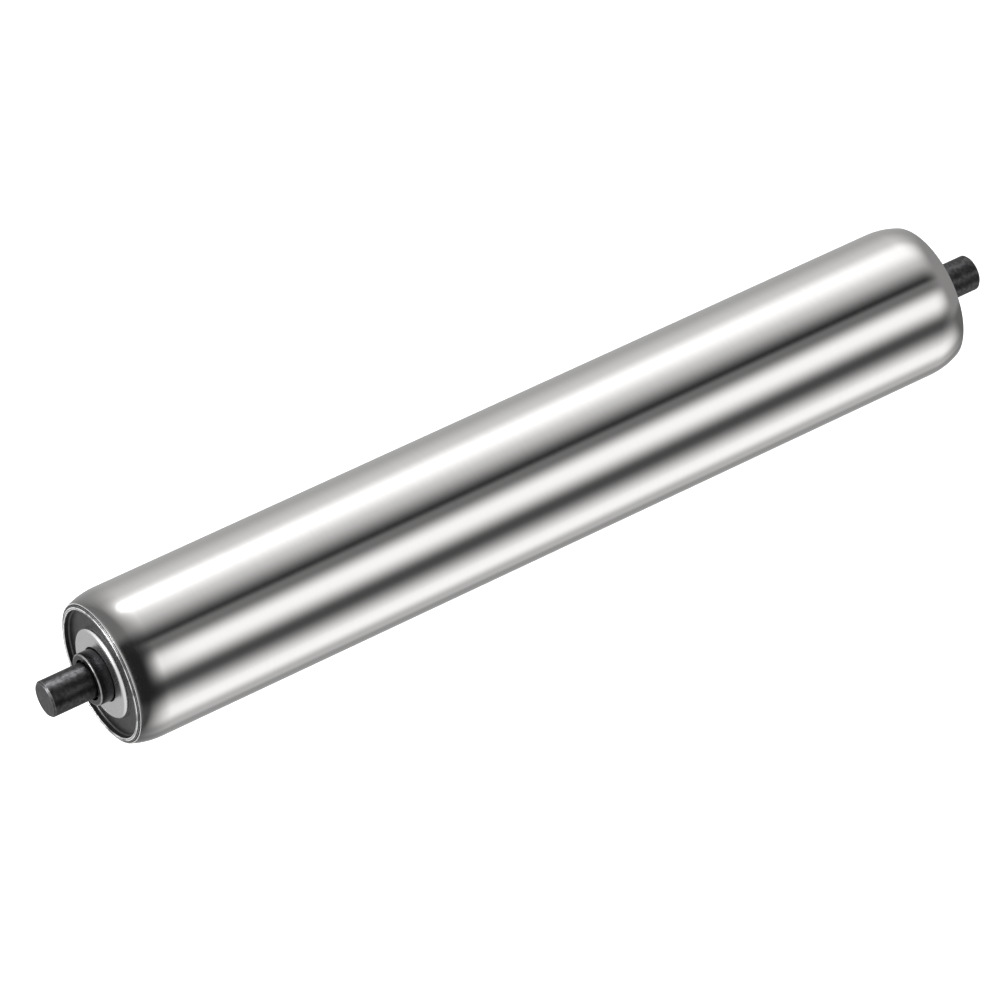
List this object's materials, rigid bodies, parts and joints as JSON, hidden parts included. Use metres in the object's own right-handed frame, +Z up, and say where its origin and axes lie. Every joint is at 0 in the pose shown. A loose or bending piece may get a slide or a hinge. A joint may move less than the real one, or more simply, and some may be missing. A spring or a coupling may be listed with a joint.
{
  "type": "conveyor roller",
  "caption": "Conveyor roller: a smooth steel tube with rolled-in ends that turns freely on domed ball bearings round a fixed round axle, which stands out at both ends.",
  "frame": {"origin": "centre of the roller, on the axle line, half way between the axle's ends", "axes": "+X along the axle, towards the far end; +Z up; +Y to the back, square to both"},
  "size_m": [0.35, 0.05, 0.05],
  "materials": {
    "tube_steel": "ground and polished round the axis",
    "black_steel": "black oxide, oiled",
    "housing_steel": "dull plated",
    "race_steel": "turned",
    "spring_steel": "phosphated",
    "cage_plastic": "moulded",
    "seal_rubber": "matt"
  },
  "bodies": {
    "axle": {"axle": "black_steel", "inner_races": "black_steel", "near_retaining_ring": "spring_steel", "far_retaining_ring": "spring_steel"},
    "roller": {"roller_tube": "tube_steel", "near_end_housing": "housing_steel", "far_end_housing": "housing_steel", "outer_races": "race_steel", "back_shields": "race_steel", "front_seals": "seal_rubber"},
    "cages": {"ball_cages": "cage_plastic"}
  },
  "joints": [
    {"name": "tube_spin", "type": "hinge", "parent": "axle", "child": "roller", "pos_m": [0, 0, 0], "axis": [1, 0, 0], "continuous": true},
    {"name": "cage_orbit", "type": "hinge", "parent": "axle", "child": "cages", "pos_m": [0, 0, 0], "axis": [1, 0, 0], "continuous": true}
  ],
  "couplings": [
    {"joint": "cage_orbit", "follows": "tube_spin", "ratio": 0.6103}
  ]
}
